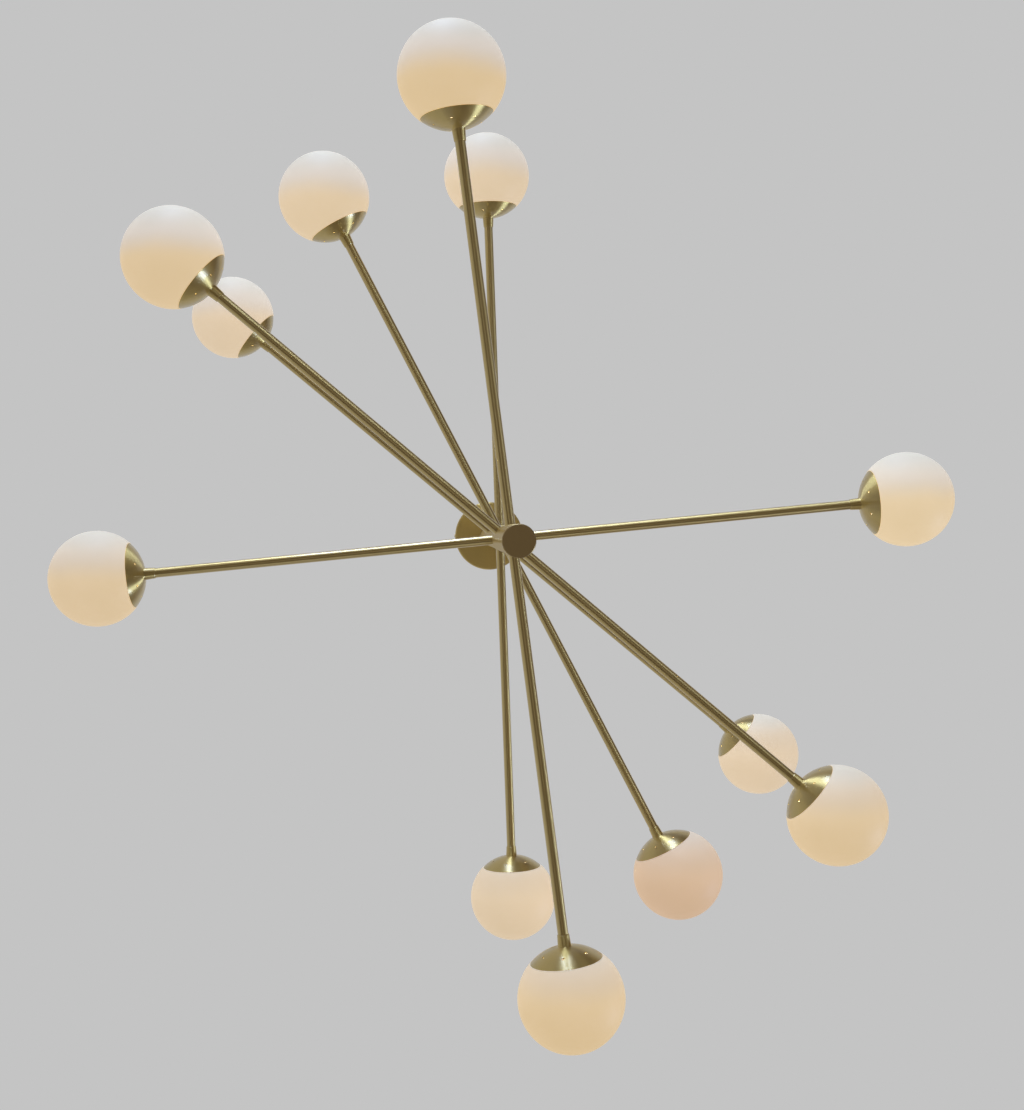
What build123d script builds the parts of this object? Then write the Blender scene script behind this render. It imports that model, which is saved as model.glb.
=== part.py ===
from build123d import *
import math
import os

# Sputnik chandelier: six straight pairs of brass arms on one column, twelve opal globes.
# All lengths are in millimetres. The ceiling is the plane z = 0 and the lamp hangs below it.

# ---- the whole lamp -------------------------------------------------------------------
GLOBE_DIAMETER = 125.0
ARM_REACH = 535.0            # column axis to globe centre
TIER_PITCH = 131.0           # height from one pair of arms to the next
DROP_TO_TOP_TIER = 725.0     # ceiling to the highest pair of arms
TAIL_LENGTH = 218.0          # lowest pair of arms to the underside of the bottom cap
TIER_NAMES = ["a", "b", "c", "d", "e", "f"]                 # lowest first
TIER_ANGLES = [82.6, 40.0, -5.6, 62.4, 87.9, 39.7]           # degrees from +X, as turned by hand

# ---- fits -----------------------------------------------------------------------------
RUN_CLEARANCE = 0.05         # radial, where a tier turns on the spindle
SEAT_CLEARANCE = 0.10        # radial, where pieces are pushed or screwed together
SKIN_GAP = 0.30              # between shells that only face each other
AXIAL_PLAY = 0.05            # above and below each turning hub
OVERRUN = 1.0                # how far a cut runs past a face, or two joined blanks into each other

# ---- column ---------------------------------------------------------------------------
COLUMN_DIAMETER = 35.0
COLUMN_WALL = 2.0
END_WEB = 4.0                # thickness of the bored web at the end of a column tube
SPINDLE_DIAMETER = 16.0
SPINDLE_WALL = 2.0
SPINDLE_TOP = 6.0            # ceiling to the open top of the spindle
WINDOW_WIDTH = 7.0           # where the wires leave the spindle
WINDOW_HEIGHT = 8.0
CAP_FLANGE = 4.0
CAP_BEVEL = 0.8
CAP_BOSS_HEIGHT = 12.0
CAP_BOSS_WALL = 4.0
CAP_SPIGOT_HEIGHT = 3.0
WASHER_THICKNESS = 0.5

# ---- turning hubs ---------------------------------------------------------------------
HUB_HEIGHT = 36.0
CHAMBER_DIAMETER = 22.0
CHAMBER_HEIGHT = 16.0
ARM_SEAT_DEPTH = 2.2         # how far an arm's shoulder sinks into the hub
STOP_WIDTH = 2.4             # stop rib in the hub and stop pin on the spindle
STOP_REACH = 2.4             # how far each stands into the wire chamber
STOP_HEIGHT = 2.4

# ---- arms -----------------------------------------------------------------------------
ARM_DIAMETER = 12.5
ARM_WALL = 1.2
NIPPLE_DIAMETER = 10.0
NIPPLE_BORE = 7.0
ARM_PLUG_LENGTH = 12.0       # solid stretch where a nipple is brazed into an arm
NIPPLE_TIP_GAP = 1.0         # nipple's end to the bottom of the lampholder's bore

# ---- cup with its neck ----------------------------------------------------------------
CUP_INSET = 0.3              # the cup's outside lies this far inside the globe's
CUP_WALL = 1.2
CUP_RIM_ANGLE = 42.8         # degrees from the pole to the rim
CUP_FLAT = 0.5               # how much the pole is flattened
CUP_FLOOR = 2.4              # cup and brazed flange together, at the pole
NECK_CUP_DIAMETER = 16.0
NECK_END_DIAMETER = 14.0
NECK_LENGTH = 14.0
NECK_BEVEL = 0.5
NECK_SOCKET_DEPTH = 9.0
VENT_DIAMETER = 2.6
VENT_COUNT = 6
VENT_ANGLE = 27.5            # degrees from the pole to the ring of vents
VENT_TURNS = [               # degrees from straight down to a vent, as each pair of cups is screwed on
    (8.0, 45.0), (36.0, 26.0), (30.0, 30.0), (22.0, 38.0), (16.0, 44.0), (12.0, 30.0),
]

# ---- globe ----------------------------------------------------------------------------
GLASS_WALL = 3.0
GLASS_NECK_WALL = 2.8
GLASS_NECK_GAP = 0.6         # between the glass neck and the inside of the cup
GLASS_NECK_DEPTH = 3.0       # how far the neck reaches into the cup
GLASS_SHOULDER = 3.4         # how far the neck's wall runs up inside the globe

# ---- spring clip, lampholder and lamp ---------------------------------------------------
CLIP_THICKNESS = 0.8
CLIP_ARMS = 3
CLIP_ARM_WIDTH = 7.0
CLIP_RING_RADIUS = 11.5
HOLDER_BOSS_DIAMETER = 19.0
HOLDER_DIAMETER = 22.0
HOLDER_BOSS_HEIGHT = 3.7
HOLDER_HEIGHT = 27.7
HOLDER_BORE_DEPTH = 10.0
LAMP_RECESS_DIAMETER = 14.6
LAMP_RECESS_DEPTH = 8.0
LAMP_DIAMETER = 16.0
LAMP_BASE_DIAMETER = 14.0
LAMP_BASE_HEIGHT = 11.7
LAMP_GLASS_HEIGHT = 44.0
PIN_DIAMETER = 1.5
PIN_SPACING = 7.0
PIN_LENGTH = 5.0

# ---- ceiling fixing -------------------------------------------------------------------
CANOPY_DIAMETER = 136.0
CANOPY_DEPTH = 30.0
CANOPY_WALL = 1.2
CANOPY_EDGE_RADIUS = 4.0
CANOPY_HOLE_GAP = 0.4
BRACKET_WIDTH = 28.0
BRACKET_THICKNESS = 2.5
BRACKET_DROP = 12.0          # ceiling to the top of the dropped middle
BRACKET_MIDDLE = 57.0        # length of the dropped middle
BRACKET_SIDE_GAP = 7.3       # bracket's tab to the inside of the canopy's wall
BRACKET_TAB_HEIGHT = 20.0
SLOT_SPACING = 79.5          # between the middles of the two slots
SLOT_LENGTH = 14.0
SLOT_WIDTH = 4.5
NUT_FLATS = 24.0
NUT_THICKNESS = 5.0
SCREW_DIAMETER = 4.0
SCREW_HEAD_DIAMETER = 7.0
SCREW_HEAD_HEIGHT = 1.6
SIDE_SCREW_DROP = 13.5       # ceiling to the canopy's side screws
SIDE_SCREW_TIP = 1.0         # how far each comes out of the bracket's tab
EARTH_SCREW_OFFSET = 21.0
EARTH_SCREW_LENGTH = 8.0

# ---- wires ----------------------------------------------------------------------------
WIRE_DIAMETER = 1.6
WIRE_RING_RADIUS = 4.6
WIRES_PER_TIER = 2
WIRE_TOP = 2.0               # ceiling to the trimmed tails

# ---- worked out -----------------------------------------------------------------------
TIERS = len(TIER_NAMES)
COLUMN_RADIUS = COLUMN_DIAMETER / 2
SPINDLE_RADIUS = SPINDLE_DIAMETER / 2
GLOBE_RADIUS = GLOBE_DIAMETER / 2
CUP_RADIUS = GLOBE_RADIUS - CUP_INSET
CUP_INNER = CUP_RADIUS - CUP_WALL
RIM_HEIGHT = CUP_RADIUS * math.cos(math.radians(CUP_RIM_ANGLE))     # globe centre to rim plane
POLE_HEIGHT = CUP_RADIUS - CUP_FLAT                                 # globe centre to neck seat
FLOOR_HEIGHT = POLE_HEIGHT - CUP_FLOOR                              # globe centre to cup floor
ARM_END = ARM_REACH - POLE_HEIGHT - NECK_LENGTH + NECK_SOCKET_DEPTH
ARM_SHOULDER = COLUMN_RADIUS - ARM_SEAT_DEPTH
HOLDER_SEAT = FLOOR_HEIGHT - CLIP_THICKNESS
HOLDER_MOUTH = HOLDER_SEAT - HOLDER_HEIGHT
CAP_BOTTOM = -(DROP_TO_TOP_TIER + (TIERS - 1) * TIER_PITCH + TAIL_LENGTH)
COLUMN_BOTTOM = CAP_BOTTOM + CAP_FLANGE
BRACKET_LENGTH = CANOPY_DIAMETER - 2 * (CANOPY_WALL + BRACKET_SIDE_GAP)
COLUMN_TOP = -(BRACKET_DROP + BRACKET_THICKNESS + NUT_THICKNESS)
HUB_ROOM = HUB_HEIGHT / 2 + AXIAL_PLAY + WASHER_THICKNESS
BIG = 4 * GLOBE_DIAMETER


def tier_height(index):
    """Height of a pair of arms, counted from the lowest."""
    return -(DROP_TO_TOP_TIER + (TIERS - 1 - index) * TIER_PITCH)


def disc(radius, bottom, top):
    """A solid cylinder on the Z axis between two heights."""
    return Pos(0, 0, (bottom + top) / 2) * Cylinder(radius, top - bottom)


def ring(outer, inner, bottom, top):
    """A plain tube on the Z axis between two heights."""
    return disc(outer, bottom, top) - disc(inner, bottom - OVERRUN, top + OVERRUN)


def block(x_low, x_high, y_low, y_high, z_low, z_high):
    """A box between its corners."""
    middle = Pos((x_low + x_high) / 2, (y_low + y_high) / 2, (z_low + z_high) / 2)
    return middle * Box(x_high - x_low, y_high - y_low, z_high - z_low)


def turned(points):
    """A solid of revolution about Z from (radius, height) points."""
    outline = Polyline(*[(r, 0, z) for r, z in points], close=True)
    return revolve(make_face(outline), Axis.Z)


def shell(outer, inner, bottom, top):
    """The part of a spherical shell that lies between two heights."""
    whole = Sphere(outer) - Sphere(inner)
    return whole & disc(BIG, bottom, top)


# ---- column pieces --------------------------------------------------------------------

def make_bottom_cap():
    """Turned disc with a bevelled edge, a spigot for the tube and a boss for the spindle."""
    inner_tube = COLUMN_RADIUS - COLUMN_WALL - SEAT_CLEARANCE
    boss_inner = SPINDLE_RADIUS + SEAT_CLEARANCE
    boss_outer = boss_inner + CAP_BOSS_WALL
    cap = turned([
        (0, CAP_BOTTOM),
        (COLUMN_RADIUS - CAP_BEVEL, CAP_BOTTOM),
        (COLUMN_RADIUS, CAP_BOTTOM + CAP_BEVEL),
        (COLUMN_RADIUS, COLUMN_BOTTOM),
        (inner_tube, COLUMN_BOTTOM),
        (inner_tube, COLUMN_BOTTOM + CAP_SPIGOT_HEIGHT),
        (boss_outer, COLUMN_BOTTOM + CAP_SPIGOT_HEIGHT),
        (boss_outer, COLUMN_BOTTOM + CAP_BOSS_HEIGHT),
        (0, COLUMN_BOTTOM + CAP_BOSS_HEIGHT),
    ])
    return cap - disc(boss_inner, COLUMN_BOTTOM, COLUMN_BOTTOM + CAP_BOSS_HEIGHT + OVERRUN)


def make_column_tube(bottom, top, bottom_web):
    """Column tube with bored end webs that centre it on the spindle."""
    web_bore = SPINDLE_RADIUS + SEAT_CLEARANCE
    inside_bottom = bottom + END_WEB if bottom_web else bottom - OVERRUN
    tube = ring(COLUMN_RADIUS, web_bore, bottom, top)
    return tube - disc(COLUMN_RADIUS - COLUMN_WALL, inside_bottom, top - END_WEB)


def make_spacers():
    """The five short column tubes between the hubs."""
    return [
        make_column_tube(tier_height(i) + HUB_ROOM, tier_height(i + 1) - HUB_ROOM, True)
        for i in range(TIERS - 1)
    ]


def make_spindle():
    """Threaded steel tube through the whole column, with wire windows and stop pins."""
    spindle = ring(SPINDLE_RADIUS, SPINDLE_RADIUS - SPINDLE_WALL, COLUMN_BOTTOM, -SPINDLE_TOP)
    window = Box(2 * SPINDLE_DIAMETER, WINDOW_WIDTH, WINDOW_HEIGHT)
    pin_root = SPINDLE_RADIUS - SPINDLE_WALL / 2
    pin = stop_block(pin_root, SPINDLE_RADIUS + STOP_REACH, -1)
    for i in range(TIERS):
        here = Pos(0, 0, tier_height(i)) * Rot(0, 0, TIER_ANGLES[0])
        spindle -= here * window
        spindle += here * pin
    return spindle


def stop_block(inner, outer, side):
    """Small stop, square to the arms, just under the roof of the wire chamber."""
    top = CHAMBER_HEIGHT / 2 - SKIN_GAP
    y_near, y_far = sorted([side * inner, side * outer])
    return block(-STOP_WIDTH / 2, STOP_WIDTH / 2, y_near, y_far, top - STOP_HEIGHT, top)


def make_washers():
    """Thin friction washers above and below each hub."""
    inner = SPINDLE_RADIUS + SEAT_CLEARANCE
    outer = COLUMN_RADIUS - SEAT_CLEARANCE
    face = HUB_HEIGHT / 2 + AXIAL_PLAY
    washers = []
    for i in range(TIERS):
        level = tier_height(i)
        washers.append(ring(outer, inner, level + face, level + face + WASHER_THICKNESS))
        washers.append(ring(outer, inner, level - face - WASHER_THICKNESS, level - face))
    return washers


def make_wires():
    """Straight supply wires inside the spindle, one pair to each tier's window."""
    count = TIERS * WIRES_PER_TIER
    wires = []
    for n in range(count):
        level = tier_height(n // WIRES_PER_TIER)
        spot = Rot(0, 0, 360 * n / count) * Pos(WIRE_RING_RADIUS, 0, 0)
        wires.append(spot * disc(WIRE_DIAMETER / 2, level, -WIRE_TOP))
    return wires


def make_spindle_nuts():
    """Two hexagon nuts that clamp the spindle to the bracket."""
    nut = extrude(RegularPolygon(NUT_FLATS / 2, 6, major_radius=False), NUT_THICKNESS)
    nut -= disc(SPINDLE_RADIUS + RUN_CLEARANCE, -OVERRUN, NUT_THICKNESS + OVERRUN)
    above = Pos(0, 0, -BRACKET_DROP) * nut
    below = Pos(0, 0, COLUMN_TOP) * nut
    return [above, below]


# ---- ceiling fixing -------------------------------------------------------------------

def make_bracket():
    """Steel crossbar: slotted feet on the ceiling, dropped middle, tabs for the side screws."""
    half_width = BRACKET_WIDTH / 2
    half_length = BRACKET_LENGTH / 2
    half_middle = BRACKET_MIDDLE / 2
    middle_bottom = -BRACKET_DROP - BRACKET_THICKNESS
    bracket = block(-half_middle, half_middle, -half_width, half_width, middle_bottom, -BRACKET_DROP)
    slot_shape = SlotOverall(SLOT_LENGTH, SLOT_WIDTH)
    slot = extrude(slot_shape, 2 * BRACKET_THICKNESS, both=True)
    for side in (-1, 1):
        foot_x = sorted([side * (half_middle - BRACKET_THICKNESS), side * half_length])
        riser_x = sorted([side * (half_middle - BRACKET_THICKNESS), side * half_middle])
        tab_x = sorted([side * (half_length - BRACKET_THICKNESS), side * half_length])
        bracket += block(*foot_x, -half_width, half_width, -BRACKET_THICKNESS, 0)
        bracket += block(*riser_x, -half_width, half_width, middle_bottom, 0)
        bracket += block(*tab_x, -half_width, half_width, -BRACKET_TAB_HEIGHT, 0)
        bracket -= Pos(side * SLOT_SPACING / 2, 0, 0) * slot
    screw_hole = SCREW_DIAMETER / 2 + SEAT_CLEARANCE
    cut_bottom = middle_bottom - OVERRUN
    cut_top = -BRACKET_DROP + OVERRUN
    bracket -= disc(SPINDLE_RADIUS + SEAT_CLEARANCE, cut_bottom, cut_top)
    bracket -= Pos(EARTH_SCREW_OFFSET, 0, 0) * disc(screw_hole, cut_bottom, cut_top)
    return bracket - side_hole(screw_hole)


def side_hole(radius):
    """A long cylinder along X at the height of the canopy's side screws."""
    return Pos(0, 0, -SIDE_SCREW_DROP) * Rot(0, 90, 0) * Cylinder(radius, 2 * CANOPY_DIAMETER)


def make_canopy():
    """Spun brass pan, flat below, with a rounded edge and a hole for the column."""
    radius = CANOPY_DIAMETER / 2
    edge = CANOPY_EDGE_RADIUS
    outside = disc(radius, -CANOPY_DEPTH, 0)
    outside = fillet(outside.edges().group_by(Axis.Z)[0], edge)
    inside = disc(radius - CANOPY_WALL, -CANOPY_DEPTH + CANOPY_WALL, OVERRUN)
    inside = fillet(inside.edges().group_by(Axis.Z)[0], edge - CANOPY_WALL)
    canopy = outside - inside
    canopy -= disc(COLUMN_RADIUS + CANOPY_HOLE_GAP, -CANOPY_DEPTH - OVERRUN, 0)
    return canopy - side_hole(SCREW_DIAMETER / 2 + SEAT_CLEARANCE)


def make_canopy_screws():
    """Two pan-head screws through the canopy's wall into the bracket's tabs."""
    wall = CANOPY_DIAMETER / 2
    tip = BRACKET_LENGTH / 2 - BRACKET_THICKNESS - SIDE_SCREW_TIP
    shank = disc(SCREW_DIAMETER / 2, tip, wall)
    head = disc(SCREW_HEAD_DIAMETER / 2, wall, wall + SCREW_HEAD_HEIGHT)
    screw = shank + fillet(head.edges().group_by(Axis.Z)[-1], SCREW_HEAD_HEIGHT / 2)
    level = Pos(0, 0, -SIDE_SCREW_DROP)
    return [level * Rot(0, 90, 0) * screw, level * Rot(0, -90, 0) * screw]


def make_earth_screw():
    """Earth screw in the dropped middle of the bracket, head up."""
    shank = disc(SCREW_DIAMETER / 2, -BRACKET_DROP - EARTH_SCREW_LENGTH, -BRACKET_DROP)
    head = disc(SCREW_HEAD_DIAMETER / 2, -BRACKET_DROP, -BRACKET_DROP + SCREW_HEAD_HEIGHT)
    return Pos(EARTH_SCREW_OFFSET, 0, 0) * (shank + head)


# ---- pieces of one tier, made on the X axis at height 0 ---------------------------------

def along_x(distance):
    """Turns local Z into outward X and moves the piece out to a distance from the column."""
    return Pos(distance, 0, 0) * Rot(0, 90, 0)


def make_hub():
    """Turning hub: running bores above and below a wire chamber, and two arm sockets."""
    half = HUB_HEIGHT / 2
    hub = ring(COLUMN_RADIUS, SPINDLE_RADIUS + RUN_CLEARANCE, -half, half)
    hub -= disc(CHAMBER_DIAMETER / 2, -CHAMBER_HEIGHT / 2, CHAMBER_HEIGHT / 2)
    thread = Rot(0, 90, 0) * Cylinder(NIPPLE_DIAMETER / 2 + SEAT_CLEARANCE, COLUMN_DIAMETER + 2 * OVERRUN)
    hub -= thread - disc(SPINDLE_RADIUS + RUN_CLEARANCE, -half, half)
    for side in (-1, 1):
        seat = Rot(0, 90 * side, 0) * disc(ARM_DIAMETER / 2 + RUN_CLEARANCE, ARM_SHOULDER, COLUMN_DIAMETER)
        hub -= seat
    inner = CHAMBER_DIAMETER / 2 - STOP_REACH + SKIN_GAP
    return hub + stop_block(inner, (CHAMBER_DIAMETER / 2 + COLUMN_RADIUS) / 2, 1)


def make_arm():
    """Brass tube with a nipple brazed into each end; made on Z, column end down."""
    nipple = NIPPLE_DIAMETER / 2
    hub_end = CHAMBER_DIAMETER / 2 + SKIN_GAP
    cup_end = ARM_REACH - HOLDER_SEAT + HOLDER_BORE_DEPTH - NIPPLE_TIP_GAP
    arm = disc(ARM_DIAMETER / 2, ARM_SHOULDER, ARM_END) + disc(nipple, hub_end, cup_end)
    arm -= disc(NIPPLE_BORE / 2, hub_end - OVERRUN, cup_end + OVERRUN)
    hollow = disc(ARM_DIAMETER / 2 - ARM_WALL, ARM_SHOULDER + ARM_PLUG_LENGTH, ARM_END - ARM_PLUG_LENGTH)
    return Rot(0, 90, 0) * (arm - hollow)


def make_cup():
    """Spun brass cap with six vents and a tapered neck brazed to its pole."""
    cup = shell(CUP_RADIUS, CUP_INNER, -POLE_HEIGHT, -RIM_HEIGHT)
    cup += Sphere(CUP_RADIUS) & disc(BIG, -POLE_HEIGHT, -FLOOR_HEIGHT)
    neck_end = -POLE_HEIGHT - NECK_LENGTH
    cup += turned([
        (0, -FLOOR_HEIGHT),
        (0, neck_end),
        (NECK_END_DIAMETER / 2 - NECK_BEVEL, neck_end),
        (NECK_END_DIAMETER / 2, neck_end + NECK_BEVEL),
        (NECK_CUP_DIAMETER / 2, -POLE_HEIGHT),
        (NECK_CUP_DIAMETER / 2, -FLOOR_HEIGHT),
    ])
    cup -= disc(ARM_DIAMETER / 2 + SEAT_CLEARANCE, neck_end - OVERRUN, neck_end + NECK_SOCKET_DEPTH)
    cup -= disc(NIPPLE_DIAMETER / 2 + SEAT_CLEARANCE, neck_end, 0)
    for n in range(VENT_COUNT):
        drill = Pos(0, 0, -CUP_RADIUS) * Cylinder(VENT_DIAMETER / 2, 6 * CUP_WALL)
        cup -= Rot(0, 0, 360 * n / VENT_COUNT) * Rot(0, VENT_ANGLE, 0) * drill
    return cup


def make_globe():
    """Blown opal glass globe whose stepped neck drops into the cup."""
    shoulder = -RIM_HEIGHT + SKIN_GAP
    neck_outer = CUP_INNER - GLASS_NECK_GAP
    neck_inner = neck_outer - GLASS_NECK_WALL
    body = shell(GLOBE_RADIUS, GLOBE_RADIUS - GLASS_WALL, shoulder, GLOBE_RADIUS + OVERRUN)
    neck = shell(neck_outer, neck_inner, -RIM_HEIGHT - GLASS_NECK_DEPTH, shoulder + GLASS_SHOULDER)
    return body + neck


def make_clip():
    """Spring-steel spider under the lampholder; its three hooks hold the glass neck."""
    thin = CLIP_THICKNESS / 2
    floor = -FLOOR_HEIGHT + thin
    neck_inner = CUP_INNER - GLASS_NECK_GAP - GLASS_NECK_WALL
    neck_edge = -RIM_HEIGHT - GLASS_NECK_DEPTH
    edge_radius = math.sqrt(neck_inner ** 2 - neck_edge ** 2)
    hook_height = neck_edge + 3 * CLIP_THICKNESS
    hook_radius = math.sqrt(neck_inner ** 2 - hook_height ** 2) - SKIN_GAP - thin
    path = Polyline(
        (CLIP_RING_RADIUS - thin, floor),
        (CLIP_RING_RADIUS + 4 * CLIP_THICKNESS, floor + 2.5 * CLIP_THICKNESS),
        (edge_radius - 3 * CLIP_THICKNESS, neck_edge - 2 * CLIP_THICKNESS),
        (edge_radius - CLIP_THICKNESS, neck_edge),
        (hook_radius, hook_height),
        (hook_radius - 3 * CLIP_THICKNESS, hook_height + 5 * CLIP_THICKNESS),
    )
    strip = Plane.XZ * trace(path, CLIP_THICKNESS)
    spun = revolve(strip, Axis.Z)
    hooks = disc(2 * CLIP_RING_RADIUS, -BIG, BIG)
    for n in range(CLIP_ARMS):
        leaf = block(0, BIG, -CLIP_ARM_WIDTH / 2, CLIP_ARM_WIDTH / 2, -BIG, BIG)
        hooks += Rot(0, 0, 360 * n / CLIP_ARMS) * leaf
    bore = NIPPLE_DIAMETER / 2 + SEAT_CLEARANCE
    plate = ring(CLIP_RING_RADIUS, bore, floor - thin, floor + thin)
    return (spun & hooks) + plate - disc(bore, -BIG, BIG)


def make_lampholder():
    """Ceramic two-pin lampholder screwed on the arm's nipple."""
    radius = HOLDER_DIAMETER / 2
    seat = -HOLDER_SEAT
    mouth = -HOLDER_MOUTH
    holder = disc(HOLDER_BOSS_DIAMETER / 2, seat, seat + HOLDER_BOSS_HEIGHT + OVERRUN)
    holder += disc(radius, seat + HOLDER_BOSS_HEIGHT, mouth)
    recess = mouth - LAMP_RECESS_DEPTH
    holder -= disc(NIPPLE_DIAMETER / 2 + SEAT_CLEARANCE, seat - OVERRUN, seat + HOLDER_BORE_DEPTH)
    holder -= disc(LAMP_RECESS_DIAMETER / 2, recess, mouth + OVERRUN)
    pin_hole = disc(PIN_DIAMETER / 2 + SKIN_GAP, recess - PIN_LENGTH - SKIN_GAP, mouth)
    for side in (-1, 1):
        holder -= Pos(side * PIN_SPACING / 2, 0, 0) * pin_hole
    return holder


def make_lamp():
    """Frosted two-pin capsule lamp."""
    base = -HOLDER_MOUTH - LAMP_RECESS_DEPTH + SKIN_GAP
    glass = base + LAMP_BASE_HEIGHT
    radius = LAMP_DIAMETER / 2
    lamp = disc(LAMP_BASE_DIAMETER / 2, base, glass + OVERRUN)
    lamp += disc(radius, glass, glass + LAMP_GLASS_HEIGHT - radius)
    lamp += Pos(0, 0, glass + LAMP_GLASS_HEIGHT - radius) * Sphere(radius)
    for side in (-1, 1):
        pin = disc(PIN_DIAMETER / 2, base - PIN_LENGTH, base + OVERRUN)
        lamp += Pos(side * PIN_SPACING / 2, 0, 0) * pin
    return lamp


# ---- writing the nodes ----------------------------------------------------------------

def write(name, solids):
    """One node, as a group of separate solids where it has several."""
    solids = solids if isinstance(solids, list) else [solids]
    pieces = [solid for item in solids for solid in item.solids()]
    shape = pieces[0] if len(pieces) == 1 else Compound(children=pieces)
    export_step(shape, os.path.join("parts", name + ".step"))


def write_column():
    """Everything that stays still: ceiling fixing, canopy, spindle and column tubes."""
    lowest_hub = tier_height(0) - HUB_ROOM
    highest_hub = tier_height(TIERS - 1) + HUB_ROOM
    write("ceiling_bracket", make_bracket())
    write("earth_screw", make_earth_screw())
    write("spindle_nuts", make_spindle_nuts())
    write("canopy", make_canopy())
    write("canopy_screws", make_canopy_screws())
    write("spindle", make_spindle())
    write("upper_column", make_column_tube(highest_hub, COLUMN_TOP, True))
    write("column_spacers", make_spacers())
    write("lower_column", make_column_tube(COLUMN_BOTTOM, lowest_hub, False))
    write("bottom_cap", make_bottom_cap())
    write("friction_washers", make_washers())
    write("supply_wires", make_wires())


def write_tiers():
    """Everything that turns: six hubs, each with two arms and two lamps."""
    hub = make_hub()
    arm = make_arm()
    cup = make_cup()
    globe = make_globe()
    lamp_pieces = {
        "globe_clips": make_clip(),
        "lampholders": make_lampholder(),
        "lamps": make_lamp(),
    }
    for i, name in enumerate(TIER_NAMES):
        tier = Pos(0, 0, tier_height(i)) * Rot(0, 0, TIER_ANGLES[i])
        sides = [tier, tier * Rot(0, 0, 180)]
        ends = [side * along_x(ARM_REACH) for side in sides]
        cups = [end * Rot(0, 0, turn) * cup for end, turn in zip(ends, VENT_TURNS[i])]
        write("tier_%s_hub" % name, tier * hub)
        write("tier_%s_arms" % name, [side * arm for side in sides])
        write("tier_%s_cups" % name, cups)
        for kind, piece in lamp_pieces.items():
            write("tier_%s_%s" % (name, kind), [end * piece for end in ends])
        for number, end in enumerate(ends, start=1):
            write("globe_%s%d" % (name, number), end * globe)


os.makedirs("parts", exist_ok=True)
write_column()
write_tiers()
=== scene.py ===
import math

import bmesh
import bpy
from mathutils import Matrix, Vector


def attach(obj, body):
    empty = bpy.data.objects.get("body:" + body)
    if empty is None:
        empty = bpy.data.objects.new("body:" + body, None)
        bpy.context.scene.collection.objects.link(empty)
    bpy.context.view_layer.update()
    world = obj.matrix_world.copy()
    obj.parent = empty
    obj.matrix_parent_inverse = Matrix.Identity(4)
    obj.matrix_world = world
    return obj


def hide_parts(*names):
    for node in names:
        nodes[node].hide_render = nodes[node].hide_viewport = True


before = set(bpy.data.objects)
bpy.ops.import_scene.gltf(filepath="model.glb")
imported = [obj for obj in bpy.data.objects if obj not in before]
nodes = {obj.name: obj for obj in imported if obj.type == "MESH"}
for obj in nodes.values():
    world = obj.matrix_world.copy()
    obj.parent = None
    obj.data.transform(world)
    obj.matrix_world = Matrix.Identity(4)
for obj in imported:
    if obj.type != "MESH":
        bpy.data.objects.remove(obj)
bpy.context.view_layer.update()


# ---- ceiling crossbar, spindle and nuts ---------------------------------------------------
# The crossbar is bent from zinc-plated steel strip. It carries the threaded steel tube on which
# the whole lamp hangs, clamped between two hexagon nuts. Zinc shows faint crystal flecks.

class Amount:
    """What a node gives. Sums, differences and products of it add Math nodes."""

    def __init__(self, finish, socket):
        self.finish = finish
        self.socket = socket

    def maths(self, operation, first, second):
        return self.finish.node("Math", {"operation": operation}, {0: first, 1: second})

    def __add__(self, other):
        return self.maths("ADD", self, other)

    def __sub__(self, other):
        return self.maths("SUBTRACT", self, other)

    def __rsub__(self, other):
        return self.maths("SUBTRACT", other, self)

    def __mul__(self, other):
        return self.maths("MULTIPLY", self, other)

    __radd__ = __add__
    __rmul__ = __mul__


class Finish:
    """One surface finish: a shader with fixed values, to which nodes are added."""

    def __init__(self, name, **fixed):
        self.material = bpy.data.materials.new(name)
        self.material.use_nodes = True
        self.tree = self.material.node_tree
        self.shader = self.tree.nodes["Principled BSDF"]
        for socket, value in fixed.items():
            self.feed(self.shader.inputs[socket.replace("_", " ")], value)

    def feed(self, socket, value):
        """Gives a socket a value, or links it to what another node gives."""
        if isinstance(value, Amount):
            self.tree.links.new(value.socket, socket)
        elif isinstance(value, tuple) and socket.type == "RGBA":
            socket.default_value = (*value, 1.0)
        else:
            socket.default_value = value

    def node(self, kind, settings=(), sockets=(), output=0):
        """Adds any node: its settings first, then the values or links of its sockets."""
        made = self.tree.nodes.new("ShaderNode" + kind)
        for key, value in dict(settings).items():
            setattr(made, key, value)
        for key, value in dict(sockets).items():
            self.feed(made.inputs[key], value)
        return Amount(self, made.outputs[output])

    def place(self):
        """The point on the piece, in metres in the piece's own frame."""
        return self.node("TexCoord", output=3)

    def grain(self, scale, vector=None, detail=3.0, rough=0.5):
        """Soft noise from 0 to 1 with so many waves to the metre."""
        sockets = {"Scale": scale, "Detail": detail, "Roughness": rough}
        sockets["Vector"] = vector or self.place()
        return self.node("TexNoise", {}, sockets)

    def tint(self, share, first, second):
        """A colour between two others."""
        return self.node("Mix", {"data_type": "RGBA"}, {0: share, 6: first, 7: second}, output=2)

    def step(self, value, low, high):
        """Rises smoothly from 0 to 1 as a value goes from low to high."""
        limits = {"Value": value, "From Min": low, "From Max": high}
        return self.node("MapRange", {"interpolation_type": "SMOOTHSTEP"}, limits)

    def bump(self, height, depth):
        """Relief of so many metres."""
        return self.node("Bump", {}, {"Height": height, "Distance": depth, "Strength": 1.0})

    def show(self, **varied):
        """Links what changes over the surface to the shader, and gives the material back."""
        for socket, value in varied.items():
            self.feed(self.shader.inputs[socket.replace("_", " ")], value)
        return self.material


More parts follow.
